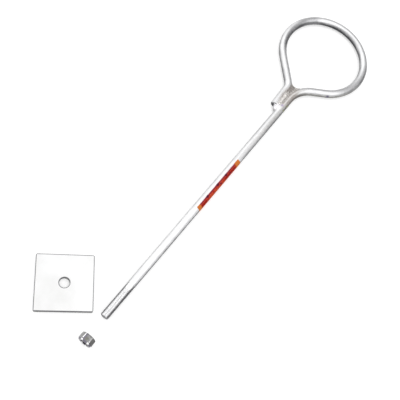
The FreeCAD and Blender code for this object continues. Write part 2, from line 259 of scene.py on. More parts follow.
draw_out(FAR_LEG + math.pi, distance(eye_end, far_bend_start), parts=14)
far_bend_centre = step(far_bend_end, heading(TAIL_SPLAY + math.pi / 2, FAR_BEND_RADIUS))
bpy.ops.mesh.spin(steps=16, angle=FAR_LEG - TAIL_SPLAY, center=far_bend_centre, axis=CLOCKWISE)
draw_out(TAIL_SPLAY + math.pi, TAIL_LENGTH - TAIL_RIM, parts=14)
draw_out(TAIL_SPLAY + math.pi, TAIL_RIM, parts=1)
rim_share = 1 - TAIL_RIM / BAR_RADIUS
resize(tail_end, rim_share, rim_share, rim_share)
close_piece(merge=NEAR_NOTHING)

# The thread: wound, trimmed to a chamfered end by a turned blank, and united with the bar
thread_total = THREAD_LENGTH + THREAD_INTO_SHANK
thread = threaded_bar("thread", THREAD_CREST, THREAD_ROOT, thread_total + 2 * THREAD_PITCH)
shift(thread, (-THREAD_PITCH, 0, 0))
blank_radius = THREAD_CREST + OVERLAP
chamfer = END_CHAMFER + OVERLAP
bpy.ops.mesh.primitive_cylinder_add(vertices=2 * BAR_SIDES, radius=blank_radius, depth=thread_total - chamfer,
                                    location=((thread_total + chamfer) / 2, 0, 0),
                                    rotation=(0, math.pi / 2, 0))
blank = new_piece("blank")
pick(blank, "FACE", lambda face: face.normal.x < -0.9)
extrude(-chamfer, 0, 0)
narrow = 1 - chamfer / blank_radius
resize((0, 0, 0), 1, narrow, narrow)
close_piece()
combine(thread, blank, "INTERSECT")
shift(thread, (END_FACE_X, SHANK_Y, 0))
combine(rod, thread, "UNION")
smooth(rod, degrees=35)

# The parts of the bar's middle line: start, heading, length and 0 if straight, or else the centre of the arc,
# the angle at which it starts, its radius and its sweep
bar_parts = (((END_FACE_X, SHANK_Y), 0, near_bend_start[0] - END_FACE_X, 0),
             (near_bend_centre, math.pi / 2, NEAR_BEND_RADIUS, -NEAR_LEG),
             (near_bend_end, -NEAR_LEG, distance(near_bend_end, eye_start), 0),
             ((0, 0), -NEAR_LEG - math.pi / 2, EYE_RADIUS, NEAR_LEG + math.pi + FAR_LEG),
             (eye_end, FAR_LEG + math.pi, distance(eye_end, far_bend_start), 0),
             (far_bend_centre, FAR_LEG - math.pi / 2, FAR_BEND_RADIUS, TAIL_SPLAY - FAR_LEG),
             (far_bend_end, TAIL_SPLAY + math.pi, TAIL_LENGTH, 0))


def unbent(point):
    """Where a point of the bar was before bending: along the bar, to its left and up."""
    best = None
    run = 0.0
    for start, angle, size, sweep in bar_parts:
        x, y = point.x - start[0], point.y - start[1]
        if sweep:
            side = math.copysign(1, sweep)
            turn = (math.atan2(y, x) - angle) * side % (2 * math.pi)
            if turn > (abs(sweep) + 2 * math.pi) / 2:
                turn -= 2 * math.pi
            gone = turn * size
            left = (size - math.hypot(x, y)) * side
            length = abs(sweep) * size
        else:
            gone = x * math.cos(angle) + y * math.sin(angle)
            left = y * math.cos(angle) - x * math.sin(angle)
            length = size
        miss = math.hypot(left, max(0.0, -gone, gone - length))
        if best is None or miss < best[0]:
            best = (miss, (run + gone, left, point.z))
        run += length
    return best[1]


places = rod.data.attributes.new("unbent_bar", "FLOAT_VECTOR", "POINT")
places.data.foreach_set("vector", [part for corner in rod.data.vertices for part in unbent(corner.co)])


def mm(*sizes):
    """Sizes in metres, given in millimetres."""
    return tuple(size * MM for size in sizes)


def wire(tree, made, values):
    """Gives a node's sockets their values; a value that is a socket is linked."""
    for socket, value in values.items():
        if isinstance(value, bpy.types.NodeSocket):
            tree.links.new(value, made.inputs[socket])
        else:
            made.inputs[socket].default_value = value


def node(tree, kind, values=None, **settings):
    """Node with its settings and the values of its sockets."""
    made = tree.nodes.new(kind)
    for setting, value in settings.items():
        setattr(made, setting, value)
    wire(tree, made, values or {})
    return made


def maths(tree, operation, *values):
    """Sum, product or other result of numbers."""
    return node(tree, "ShaderNodeMath", dict(enumerate(values)), operation=operation).outputs[0]


def product(tree, *values):
    """All values multiplied together."""
    return functools.reduce(functools.partial(maths, tree, "MULTIPLY"), values)


def vectors(tree, operation, *values):
    """Sum or other result of vectors; a length and a dot product are numbers."""
    made = node(tree, "ShaderNodeVectorMath", dict(enumerate(values)), operation=operation)
    return made.outputs["Value" if operation in ("LENGTH", "DOT_PRODUCT") else "Vector"]


def axes(tree, vector):
    """X, Y and Z of a vector."""
    return node(tree, "ShaderNodeSeparateXYZ", {"Vector": vector}).outputs


def noise(tree, place, scale, detail, roughness=0.5):
    """Soft random values from 0 to 1, finer with a larger scale."""
    return node(tree, "ShaderNodeTexNoise", {"Vector": place, "Scale": scale, "Detail": detail,
                                             "Roughness": roughness}).outputs["Fac"]


def ranged(tree, value, low, high, to_low=0.0, to_high=1.0):
    """Value mapped from one range to another, clamped."""
    return node(tree, "ShaderNodeMapRange", {"Value": value, "From Min": low, "From Max": high,
                                             "To Min": to_low, "To Max": to_high}).outputs["Result"]


def stretch(tree, value, start, full, fade, end):
    """1 along a stretch that rises from its start and fades to its end, 0 outside it."""
    return product(tree, ranged(tree, value, start, full), ranged(tree, value, end, fade))


def band(tree, value, low, high, soft):
    """1 between two values, 0 outside them."""
    return stretch(tree, value, low - soft / 2, low + soft / 2, high - soft / 2, high + soft / 2)


def near_spot(tree, place, centre, reach, inner, outer):
    """1 inside an ellipsoid round a point, 0 outside it, soft from inner to outer times its reach."""
    scaled = vectors(tree, "DIVIDE", vectors(tree, "SUBTRACT", place, centre), reach)
    return ranged(tree, vectors(tree, "LENGTH", scaled), inner, outer, 1.0, 0.0)


def blended(tree, share, first, second):
    """Mix of two colours."""
    return node(tree, "ShaderNodeMix", {0: share, 6: first, 7: second}, data_type="RGBA").outputs[2]


def painted(tree, under, colour, *masks):
    """A colour laid over another one, as far as all the masks let it."""
    return blended(tree, product(tree, *masks), under, colour)


def new_group(name, inputs, outputs):
    """Node group with sockets named as {name: kind}: the group, what it is given and its output node."""
    group = bpy.data.node_groups.new(name, "ShaderNodeTree")
    for direction, sockets in (("INPUT", inputs), ("OUTPUT", outputs)):
        for socket, kind in sockets.items():
            group.interface.new_socket(name=socket, in_out=direction, socket_type=f"NodeSocket{kind}")
    return group, group.nodes.new("NodeGroupInput").outputs, group.nodes.new("NodeGroupOutput")


def effect(tree, group, **values):
    """What a node group puts out when it is placed with these values."""
    return node(tree, "ShaderNodeGroup", values, node_tree=group).outputs


# Zinc coat: soft grey patches, streaks along the work where the zinc drained, and a fine grain
zinc_coat, given, result = new_group(
    "zinc_coat",
    {"Place": "Vector", "Bright": "Color", "Dull": "Color", "Patches": "Float", "Streaks": "Float",
     "Smooth": "Float", "Rough": "Float"},
    {"Colour": "Color", "Roughness": "Float", "Height": "Float"})
patches = noise(zinc_coat, given["Place"], given["Patches"], detail=3.0, roughness=0.55)
drawn = node(zinc_coat, "ShaderNodeMapping", {"Vector": given["Place"], "Scale": (0.06, 1.0, 1.0)}).outputs[0]
drained = noise(zinc_coat, drawn, scale=420.0, detail=2.0)
grain = noise(zinc_coat, given["Place"], scale=1600.0, detail=2.0)
patches = product(zinc_coat, patches, maths(zinc_coat, "SUBTRACT", 1.0, given["Streaks"]))
mottle = maths(zinc_coat, "MULTIPLY_ADD", drained, given["Streaks"], patches)
mottle = ranged(zinc_coat, mottle, 0.27, 0.73)
wire(zinc_coat, result, {
    "Colour": blended(zinc_coat, mottle, given["Dull"], given["Bright"]),
    "Roughness": ranged(zinc_coat, mottle, 0.0, 1.0, given["Rough"], given["Smooth"]),
    "Height": maths(zinc_coat, "MULTIPLY_ADD", mottle, 0.6, product(zinc_coat, grain, 0.4))})

# Stains: small spots of flux, dirt and tinted zinc
stained, given, result = new_group(
    "stained_metal",
    {"Place": "Vector", "Metal": "Color", "Stain": "Color", "Size": "Float", "Amount": "Float",
     "Strength": "Float"},
    {"Colour": "Color"})
blots = noise(stained, given["Place"], given["Size"], detail=4.0, roughness=0.65)
edge = maths(stained, "MULTIPLY_ADD", given["Amount"], -0.5, 0.85)
blot = ranged(stained, blots, edge, maths(stained, "ADD", edge, 0.06))
wire(stained, result, {"Colour": painted(stained, given["Metal"], given["Stain"], blot, given["Strength"])})

# Flanks: painted shade, darker and greyer low on the sides than on top
shaded_flanks, given, result = new_group(
    "shaded_flanks",
    {"Place": "Vector", "Metal": "Color", "Flank": "Color", "Low": "Float", "High": "Float",
     "Ragged": "Float"},
    {"Colour": "Color"})
ragged = noise(shaded_flanks, given["Place"], scale=90.0, detail=3.0)
ragged = maths(shaded_flanks, "SUBTRACT", ragged, 0.5)
level = maths(shaded_flanks, "MULTIPLY_ADD", ragged, given["Ragged"], axes(shaded_flanks, given["Place"])["Z"])
flank = ranged(shaded_flanks, level, given["High"], given["Low"])
wire(shaded_flanks, result, {"Colour": painted(shaded_flanks, given["Metal"], given["Flank"], flank)})


def new_material(name, metallic=1.0):
    """Empty material, its tree and its shader."""
    material = bpy.data.materials.new(name)
    material.use_nodes = True
    tree = material.node_tree
    shader = next(item for item in tree.nodes if item.type == "BSDF_PRINCIPLED")
    shader.inputs["Metallic"].default_value = metallic
    return material, tree, shader


def bumped(tree, shader, height, depth, strength):
    """Relief of a height in metres, on a shader's normal."""
    bump = node(tree, "ShaderNodeBump", {"Height": height, "Distance": depth, "Strength": strength})
    wire(tree, shader, {"Normal": bump.outputs["Normal"]})


def dress(piece, material):
    """Gives a piece its one material."""
    piece.data.materials.clear()
    piece.data.materials.append(material)


BRIGHT_ZINC = (0.77, 0.77, 0.775, 1)
DULL_ZINC = (0.62, 0.62, 0.63, 1)
PURPLE_STAIN = (0.20, 0.18, 0.23, 1)
WELD_BROWN = (0.37, 0.335, 0.31, 1)
FLANK_SHADE = (0.12, 0.12, 0.125, 1)
PATCH_ZINC = (0.34, 0.34, 0.35, 1)
THREAD_ZINC = (0.79, 0.79, 0.795, 1)
THREAD_SHADE = (0.12, 0.115, 0.125, 1)
INNER_SHADE = (0.05, 0.05, 0.055, 1)
CUT_DARK = (0.08, 0.08, 0.085, 1)
FAR_INNER_SHADE = (0.13, 0.13, 0.135, 1)
RUNOUT_LIGHT = (0.97, 0.97, 0.97, 1)
OUTER_GREY = (0.19, 0.19, 0.195, 1)
OLIVE_SHADE = (0.25, 0.245, 0.22, 1)
WELD_SIDE_SHADE = (0.12, 0.105, 0.095, 1)
CROWN_HIGHLIGHT = (0.63, 0.615, 0.60, 1)

# Spots: centre, reach, and the shares of the reach between which the edge is soft
FAR_PATCH = (mm(50, 76, 4), mm(30, 30, 16), 0.55, 1.05)
FAR_INNER_SPOT = (mm(-6, 88, 4), mm(58, 34, 16), 0.6, 1.05)
NEAR_PATCH = (mm(-16, -88, 4), mm(60, 24, 16), 0.5, 1.1)
NEAR_RIM = (mm(24, -84, 0), mm(46, 26, 16), 0.5, 1.0)
LIT_INNER = (mm(54, 68, 0), mm(36, 30, 16), 0.4, 1.0)
HEAT = (step(tail_end, mm(33, -11, 2)), mm(37, 15.5, 15), 0.72, 1.1)
SAWN_TAIL = (step(tail_end, mm(-0.8, -2, 0)), mm(3, 12, 12), 0.5, 0.8)
# Tinted spots, three beside the weld and one where the near leg meets the eye: centre, reach and colour
TINTED_SPOTS = ((mm(-158.8, -10.0, 4), 3.4 * MM, (0.24, 0.25, 0.12, 1)),
                (mm(-172.7, -9.6, 4), 3.2 * MM, (0.27, 0.28, 0.16, 1)),
                (mm(-78.2, -61.1, 2), 5.0 * MM, (0.05, 0.035, 0.11, 1)),
                (mm(-166.0, -1.0, 8), 4.6 * MM, (0.40, 0.34, 0.48, 1)))
TINT_DEPTH = 6 * MM

# Changes along the bar, measured from its threaded end: where each starts and is full
END_FACE = mm(0.5, 0.1)
ROLLED_ZINC = (THREAD_LENGTH + 4 * MM, THREAD_LENGTH - 10 * MM)
TOP_LINE_END = mm(68, 50)
TOWARDS_EYE = mm(250, 440)
SHADED_EDGES = mm(400, 480)
LEFT_EDGE_END = mm(545, 530)
RIGHT_FLANK_END = mm(630, 590)
# Stretches along it: where each starts, is full, fades and ends
SHANK_END = mm(380, 520, 600, 625)
BESIDE_WELD = mm(540, 552, 606, 628)
NEAR_LEG_RUN = mm(600, 625, 710, 750)
# Bands along it: from, to and softness
RUNOUT = mm(62, 72.6, 5)
WELD_TOE = mm(536, 553, 8)
# Bands across it, measured from its middle line to its left, so that its right side is at -8 mm
TOP_LINE = mm(-0.9, 0.3, 0.8)
HIGHLIGHT_LINE = mm(-0.8, 2.0, 1.6)
# Painted shade on the thread's sides: where it starts and is full across the bar and along it, its end's
# slant and its strength
SHADE_STREAKS = ((mm(-3.2, -5.4), mm(64, 44), 3.4, 1.0), (mm(4.0, 5.8), mm(74, 52), -1.5, 0.8))
FLANK_LOW = 1.0 * MM            # the flank is fully in painted shade below this height and free of it above the next
FLANK_HIGH = 5.2 * MM
FLANK_RAGGED = 4 * MM

bar_zinc, tree, shader = new_material("bar_zinc")
on_bar = node(tree, "ShaderNodeAttribute", attribute_name="unbent_bar").outputs["Vector"]
run, left = axes(tree, on_bar)[:2]
here = node(tree, "ShaderNodeTexCoord").outputs["Object"]
here_x, here_y = axes(tree, here)[:2]
coat = effect(tree, zinc_coat, Place=on_bar, Bright=BRIGHT_ZINC, Dull=DULL_ZINC, Patches=75.0, Streaks=0.45,
              Smooth=0.30, Rough=0.46)
spots = effect(tree, stained, Place=on_bar, Metal=coat["Colour"], Stain=PURPLE_STAIN, Size=150.0,
               Amount=0.30, Strength=0.5)
ragged = noise(tree, here, scale=260.0, detail=3.0)
# Painted shade on the eye, in ragged patches: on its far left, on the inner side beside it, and on the near
# right, darkest towards the outer side
patchy = ranged(tree, ragged, 0.3, 0.6, 0.7, 1.0)
metal = painted(tree, spots["Colour"], PATCH_ZINC, near_spot(tree, here, *FAR_PATCH), patchy,
                ranged(tree, left, *mm(-7, 3), 0.7, 0.8))
metal = painted(tree, metal, FAR_INNER_SHADE, near_spot(tree, here, *FAR_INNER_SPOT), patchy,
                ranged(tree, left, *mm(-3, 3), to_high=0.85))
near_shade = painted(tree, PATCH_ZINC, OUTER_GREY, ranged(tree, left, *mm(-1, -5)))
metal = painted(tree, metal, near_shade, near_spot(tree, here, *NEAR_PATCH), patchy,
                ranged(tree, left, *mm(5, -4), 0.35, 0.85))
# The rolled thread is bright, with painted shade down both sides and in a thin line along its top, which also
# lowers its metallic; the sawn end face is dull
rolled = ranged(tree, run, *ROLLED_ZINC)
metal = painted(tree, metal, THREAD_ZINC, rolled, 0.9)
# The runout is painted brighter, as painted light that evens out the shade of the last grooves
metal = painted(tree, metal, RUNOUT_LIGHT, band(tree, run, *RUNOUT))
thread_shade = 0.0
for across, along, slant, strength in SHADE_STREAKS:
    streak_end = maths(tree, "MULTIPLY_ADD", left, slant, run)
    streak = product(tree, ranged(tree, left, *across, to_high=strength), ranged(tree, streak_end, *along))
    thread_shade = maths(tree, "MAXIMUM", streak, thread_shade)
top_line = product(tree, band(tree, left, *TOP_LINE), ranged(tree, run, *TOP_LINE_END, to_high=0.3))
thread_shade = maths(tree, "MAXIMUM", top_line, product(tree, thread_shade, ranged(tree, ragged, 0.25, 0.6, 0.7, 1.0)))
metal = painted(tree, metal, THREAD_SHADE, thread_shade)
metal = painted(tree, metal, PATCH_ZINC, ranged(tree, run, *END_FACE))
# Towards the eye the bar is slightly duller. Painted shade darkens the shank's right side, the left side of
# the near leg and the outer rim of the eye beside it
eyewards = ranged(tree, run, *TOWARDS_EYE)
metal = painted(tree, metal, PATCH_ZINC, eyewards, 0.1)
metal = painted(tree, metal, OLIVE_SHADE, stretch(tree, run, *SHANK_END),
                ranged(tree, ragged, 0.35, 0.65, 0.75, 1.25), ranged(tree, left, *mm(3, -1.5), 0.04, 0.42))
near_leg = stretch(tree, run, *NEAR_LEG_RUN)
metal = painted(tree, metal, PATCH_ZINC, near_leg, ranged(tree, left, *mm(0.5, 4), to_high=0.5))
metal = painted(tree, metal, FLANK_SHADE, near_spot(tree, here, *NEAR_RIM),
                ranged(tree, left, *mm(-2.5, -6), to_high=0.8))
# Painted shade low on the flanks, darkest on the eye's inner side and on the thread, and painted lighter
# where the eye's inner side is lit. The painted shade reaches highest on the eye's inner side and on the
# shank's right side
inner = product(tree, ranged(tree, left, *mm(1.5, 5)), ranged(tree, here_y, *mm(-75, -30)),
                ranged(tree, here_x, *mm(-135, -100)))
far_inner = product(tree, inner, ranged(tree, here_y, *mm(40, 65)))
rightmost = product(tree, ranged(tree, left, *mm(-5.0, -6.6)), ranged(tree, run, *RIGHT_FLANK_END))
flank = painted(tree, FLANK_SHADE, INNER_SHADE, maths(tree, "MAXIMUM", inner, rolled))
flank = painted(tree, flank, PATCH_ZINC, near_spot(tree, here, *LIT_INNER), 0.45)
# Painted olive shade low on the near leg's right side
flank = painted(tree, flank, OLIVE_SHADE, near_leg, ranged(tree, left, *mm(0, -4), to_high=0.6))
low, high = FLANK_LOW, FLANK_HIGH
for mask, lift in ((rightmost, 2.4 * MM), (inner, 0.5 * MM), (far_inner, 1.8 * MM)):
    low = maths(tree, "MULTIPLY_ADD", mask, lift, low)
for mask, lift in ((rightmost, 1.0 * MM), (eyewards, 0.5 * MM), (far_inner, 1.2 * MM)):
    high = maths(tree, "MULTIPLY_ADD", mask, lift, high)
sides = effect(tree, shaded_flanks, Place=on_bar, Metal=metal, Flank=flank, Low=low, High=high,
               Ragged=FLANK_RAGGED)
# Painted shade darkens the shank's edges towards the eye, most on its right side
left_edge_shade = product(tree, ranged(tree, left, *mm(4.6, 6.4), to_high=0.22), ranged(tree, run, *LEFT_EDGE_END))
edges = maths(tree, "MAXIMUM", product(tree, rightmost, 0.42), left_edge_shade)
colour = painted(tree, sides["Colour"], FLANK_SHADE, edges, ranged(tree, run, *SHADED_EDGES))
# Beside the weld the coat is burnt brown, with painted shade down the shank's right side, a painted highlight
# along the shank's crown, and bright zinc at the weld's toe
burnt = product(tree, near_spot(tree, here, *HEAT), ranged(tree, ragged, 0.3, 0.6, 0.35, 1.0))
colour = painted(tree, colour, WELD_BROWN, burnt)
by_weld = stretch(tree, run, *BESIDE_WELD)
colour = painted(tree, colour, WELD_SIDE_SHADE, by_weld, ranged(tree, left, *mm(-4.0, -7.4), to_high=0.75))
colour = painted(tree, colour, CROWN_HIGHLIGHT, by_weld, band(tree, left, *HIGHLIGHT_LINE))
colour = painted(tree, colour, THREAD_ZINC, band(tree, run, *WELD_TOE),
                 ranged(tree, left, *mm(-0.5, 4), to_high=0.9))
for spot, reach, tint in TINTED_SPOTS:
    tinted = near_spot(tree, here, spot, (reach, reach, TINT_DEPTH), 0.35, 1.0)
    colour = painted(tree, colour, tint, tinted, 0.8)
wire(tree, shader, {"Base Color": painted(tree, colour, CUT_DARK, near_spot(tree, here, *SAWN_TAIL)),
                    "Roughness": maths(tree, "MULTIPLY_ADD", burnt, 0.2, coat["Roughness"]),
                    "Metallic": maths(tree, "MULTIPLY_ADD", thread_shade, -0.6, 1.0)})
bumped(tree, shader, coat["Height"], 0.08 * MM, 0.5)
dress(rod, bar_zinc)
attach(rod, "root")
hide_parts("eye_rod")

# Weld: filler metal laid by hand in three runs side by side over the groove between the tail and the shank,
# and three under it, then galvanised with the rod. It is lumpy, and ends in a smooth toe on the shank and a
# hollow in the crotch.
WELD_LEAD = 12.8 * MM
WELD_LENGTH = 61 * MM
WELD_WEB = 11 * MM
CROTCH_RADIUS = 12 * MM
CROTCH_DEPTH = 5 * MM
INTO_SHANK = 4 * MM             # how far the web's corners lie past the shank's line and the tail's end
INTO_TAIL = mm(1, 3)
INTO_FAR_LEG = 5.9 * MM
FIRST_LUMP = -1 * MM            # from the tail's end towards the crotch
LAST_GAP = 3 * MM               # left free before the crotch
LUMP_SPACING = 3.1 * MM
LUMP_PLAY = 0.25                # of the spacing
LUMP_ASIDE = 0.5                # mm
LUMP_SIZES = (0.88, 1.08)
LUMP_SHAPE = (0.85, 1.05, 1.0)
WELD_TOP = 7.9 * MM
WELD_VOXEL = 0.55 * MM
# The runs' distance from the groove, height and radius, and the toe's lumps: from the groove, back from the
# tail's end, and radius, all in mm
WELD_RUNS = ((-4.6, 3.6, 3.3), (0.2, 4.3, 3.1), (4.8, 4.6, 3.1))
TOE_LUMPS = ((0.5, 7.0, 4.6), (1.6, 4.0, 5.4), (2.6, 1.0, 6.2), (-1.5, 9.5, 3.6), (3.0, -3.0, 6.6))

crotch_x = tail_end[0] + WELD_LENGTH
groove_y = (SHANK_Y + TAIL_END_Y) / 2
web_corners = ((tail_end[0] - WELD_LEAD, SHANK_Y), (crotch_x + CROTCH_DEPTH, SHANK_Y - INTO_SHANK),
               (crotch_x + CROTCH_DEPTH, TAIL_END_Y + INTO_FAR_LEG), step(tail_end, INTO_TAIL))
bpy.ops.object.select_all(action="DESELECT")
bpy.ops.mesh.primitive_plane_add(size=2, location=(0, 0, -WELD_WEB / 2))
weld = new_piece("weld_metal")
for place, corner in zip(((-1, -1), (1, -1), (1, 1), (-1, 1)), web_corners):
    pick(weld, "VERT", lambda vertex: vertex.co.x * place[0] > 0.5 and vertex.co.y * place[1] > 0.5)
    bpy.ops.transform.translate(value=(corner[0] - place[0], corner[1] - place[1], 0))
pick_all()
extrude(0, 0, WELD_WEB)
close_piece()
bpy.ops.mesh.primitive_cylinder_add(vertices=48, radius=CROTCH_RADIUS, depth=2 * WELD_WEB,
                                    location=(crotch_x + CROTCH_RADIUS, groove_y, 0))
combine(weld, settle("hollow"), "DIFFERENCE")

dice = random.Random(16)
lumps = [weld]
for side in (-1, 1):
    for aside, height, radius in WELD_RUNS:
        for number in range(round((WELD_LENGTH - LAST_GAP) / LUMP_SPACING)):
            gone = (number + dice.uniform(-LUMP_PLAY, LUMP_PLAY)) * LUMP_SPACING
            lean = gone * math.tan(TAIL_SPLAY / 2)
            lump_radius = radius * dice.uniform(*LUMP_SIZES) * MM
            lump_y = groove_y + lean + (aside + dice.uniform(-LUMP_ASIDE, LUMP_ASIDE)) * MM
            lump_z = side * min(height * MM, WELD_TOP - lump_radius)
            bpy.ops.mesh.primitive_ico_sphere_add(subdivisions=2, radius=lump_radius,
                                                  location=(tail_end[0] + FIRST_LUMP + gone, lump_y, lump_z))
            bpy.context.object.scale = LUMP_SHAPE
            lumps.append(settle("lump"))
for aside, back, radius in TOE_LUMPS:
    bpy.ops.mesh.primitive_ico_sphere_add(subdivisions=3, radius=radius * MM,
                                          location=(tail_end[0] - back * MM, groove_y + aside * MM, 0))
    lumps.append(settle("toe"))
for lump in lumps:
    lump.select_set(True)
bpy.context.view_layer.objects.active = weld
bpy.ops.object.join()
apply_modifier(weld, "REMESH", mode="VOXEL", voxel_size=WELD_VOXEL, adaptivity=0.0)
apply_modifier(weld, "SMOOTH", factor=0.5, iterations=3)
smooth(weld, degrees=60)

WELD_BRIGHT = (0.70, 0.68, 0.655, 1)
WELD_DULL = (0.17, 0.15, 0.14, 1)
WELD_LIGHT = (0.80, 0.775, 0.75, 1)
CROTCH_SHADE = (0.19, 0.17, 0.16, 1)
TOE_ZINC = (0.85, 0.84, 0.87, 1)
CROTCH_ZINC = (0.54, 0.52, 0.49, 1)
# The weld's two ends, as spots
TOE = ((tail_end[0] - 3 * MM, groove_y, 0), mm(9, 14, 14), 0.5, 1.2)
CROTCH = ((crotch_x, groove_y, 0), mm(9, 14, 14), 0.7, 1.2)
TAIL_SIDE = mm(5.0, 11.5, 2)    # the run beside the tail, as a band in Y
LIGHT_END = mm(-130, -142)      # where the light end and the end in painted shade start and are full, in X
SHADED_END = mm(-137, -124)

weld_zinc, tree, shader = new_material("weld_zinc")
here = node(tree, "ShaderNodeTexCoord").outputs["Object"]
here_x, here_y = axes(tree, here)[:2]
coat = effect(tree, zinc_coat, Place=here, Bright=WELD_BRIGHT, Dull=WELD_DULL, Patches=280.0, Streaks=0.2,
              Smooth=0.35, Rough=0.62)
# The run beside the tail is the lightest towards the toe, and it and the middle run carry painted shade by
# the crotch
bare = painted(tree, coat["Colour"], WELD_LIGHT, band(tree, here_y, *TAIL_SIDE),
               ranged(tree, here_x, *LIGHT_END, to_high=0.6))
bare = painted(tree, bare, CROTCH_SHADE, ranged(tree, here_x, *SHADED_END, to_high=0.75),
               ranged(tree, here_y, 0.0, 3 * MM))
bare = painted(tree, bare, TOE_ZINC, near_spot(tree, here, *TOE))
bare = painted(tree, bare, CROTCH_ZINC, near_spot(tree, here, *CROTCH), 0.25)
# Painted shade low on the weld's sides
sides = effect(tree, shaded_flanks, Place=here, Metal=bare, Flank=FLANK_SHADE, Low=-1.5 * MM, High=4.5 * MM,
               Ragged=FLANK_RAGGED)
wire(tree, shader, {"Base Color": sides["Colour"], "Roughness": coat["Roughness"]})
bumped(tree, shader, coat["Height"], 0.15 * MM, 0.7)
dress(weld, weld_zinc)
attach(weld, "root")

# Label: thin printed film, cut with rounded corners and glued round the shank from its top down its right
# side. It has a red field between orange ends, with a dark line along its upper edge and small dark marks.
LABEL_START = 262 * MM
LABEL_LENGTH = 132 * MM
LABEL_WRAP = math.radians(140)
LABEL_INSIDE = 8.1 * MM
LABEL_FILM = 0.25 * MM
LABEL_CORNER = 1.5 * MM
LABEL_STRIPS = 28

label_width = LABEL_WRAP * LABEL_INSIDE
bpy.ops.object.select_all(action="DESELECT")
bpy.ops.mesh.primitive_plane_add(size=1, rotation=(math.pi / 2, 0, 0))
bpy.context.object.scale = (LABEL_LENGTH, label_width, 1)
label = new_piece("printed_label")
bpy.ops.mesh.bevel(offset=LABEL_CORNER, segments=6, affect="VERTICES")
for strip in range(1, LABEL_STRIPS):
    pick_all()
    bpy.ops.mesh.bisect(plane_co=(0, 0, (strip / LABEL_STRIPS - 0.5) * label_width), plane_no=(0, 0, 1),
                        threshold=NEAR_NOTHING)
bpy.ops.object.mode_set(mode="OBJECT")
apply_modifier(label, "SIMPLE_DEFORM", deform_method="BEND", deform_axis="X", angle=LABEL_WRAP)
shift(label, (0, -LABEL_INSIDE, 0))
apply_modifier(label, "SOLIDIFY", thickness=LABEL_FILM, offset=1.0)
label.rotation_euler = (LABEL_WRAP / 2 - math.pi / 2, 0, 0)
settle(label.name)
shift(label, (END_FACE_X + LABEL_START + LABEL_LENGTH / 2, SHANK_Y, 0))
smooth(label, degrees=40)

LABEL_ORANGE = (0.53, 0.15, 0.028, 1)
LABEL_RED = (0.38, 0.024, 0.011, 1)
LABEL_CORAL_GLINT = (0.55, 0.075, 0.045, 1)
LABEL_DEEP_RED = (0.26, 0.008, 0.003, 1)
LABEL_RIM_ORANGE = (0.47, 0.062, 0.009, 1)
LABEL_DARK = (0.080, 0.005, 0.026, 1)
LABEL_PINK = (0.50, 0.22, 0.25, 1)              # the bare film at the print's edge
INK_WOBBLE = 1.6 * MM
# Bands along the label: from, to and softness
RED_FIELD = mm(8.5, 119.5, 2.5)
DEEP_PARTS = (mm(6, 27, 5), mm(82, 118, 5))
# Bands round the bar, measured from its top
DARK_LINE = mm(1.1, 2.6, 0.6)
DEEP_ROW = mm(4.6, 9.0, 1.2)
# Changes round the bar: where each starts and is full. Where the print is deep the rim starts later
PINK_EDGE = mm(1.2, 0.6)
ORANGE_RIM = mm(5.2, 7.0)
DEEP_LOWERS_RIM = -3.5 * MM
# Dark marks: along the label, round the bar, length and width
BLOTS = (mm(31, 2.0, 7.5, 6.0), mm(63, 2.2, 8.0, 6.5), mm(90, 2.0, 7.5, 6.0), mm(70, 5.5, 4.0, 3.5),
         mm(100, 5.2, 3.5, 3.0))

label_print, tree, shader = new_material("label_print", metallic=0.0)
here_x, here_y, here_z = axes(tree, node(tree, "ShaderNodeTexCoord").outputs["Object"])
along = maths(tree, "SUBTRACT", here_x, END_FACE_X + LABEL_START)
angle = maths(tree, "ARCTAN2", maths(tree, "SUBTRACT", SHANK_Y, here_y), here_z)
around = product(tree, angle, LABEL_INSIDE)
flat = node(tree, "ShaderNodeCombineXYZ", {"X": along, "Y": around}).outputs[0]
mottle = noise(tree, flat, scale=330.0, detail=3.0)
wobble = product(tree, maths(tree, "SUBTRACT", mottle, 0.5), INK_WOBBLE)
letters = noise(tree, node(tree, "ShaderNodeCombineXYZ", {"X": along}).outputs[0], scale=120.0, detail=2.0)
near_edge = maths(tree, "ADD", around, wobble)
# Lighter coral patches in the red field are painted highlights of the glossy film
ink = painted(tree, LABEL_RED, LABEL_CORAL_GLINT, ranged(tree, mottle, 0.45, 0.68))
deep = maths(tree, "MAXIMUM", *(band(tree, along, *part) for part in DEEP_PARTS))
ink = painted(tree, ink, LABEL_RIM_ORANGE, ranged(tree, letters, 0.62, 0.46, 0.35, 1.0),
              ranged(tree, maths(tree, "MULTIPLY_ADD", deep, DEEP_LOWERS_RIM, near_edge), *ORANGE_RIM))
ink = painted(tree, ink, LABEL_DEEP_RED, band(tree, near_edge, *DEEP_ROW),
              maths(tree, "MAXIMUM", deep, ranged(tree, letters, 0.48, 0.56, to_high=0.6)))
printed = band(tree, maths(tree, "ADD", along, wobble), *RED_FIELD)
ink = painted(tree, LABEL_ORANGE, ink, printed)
ink = painted(tree, ink, LABEL_PINK, printed, ranged(tree, around, *PINK_EDGE))
dark = product(tree, band(tree, around, *DARK_LINE), printed, 0.92)
for place, lift, length, width in BLOTS:
    blot = near_spot(tree, flat, (place, lift, 0), (length / 2, width / 2, 1 * MM), 0.6, 1.1)
    dark = maths(tree, "MAXIMUM", dark, blot)
grain = noise(tree, flat, scale=900.0, detail=2.0)
wire(tree, shader, {"Base Color": painted(tree, ink, LABEL_DARK, dark, 0.95),
                    "Roughness": ranged(tree, grain, 0.3, 0.7, 0.42, 0.56), "Specular IOR Level": 0.08})
bumped(tree, shader, grain, 0.03 * MM, 0.4)
dress(label, label_print)
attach(label, "root")
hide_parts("label")

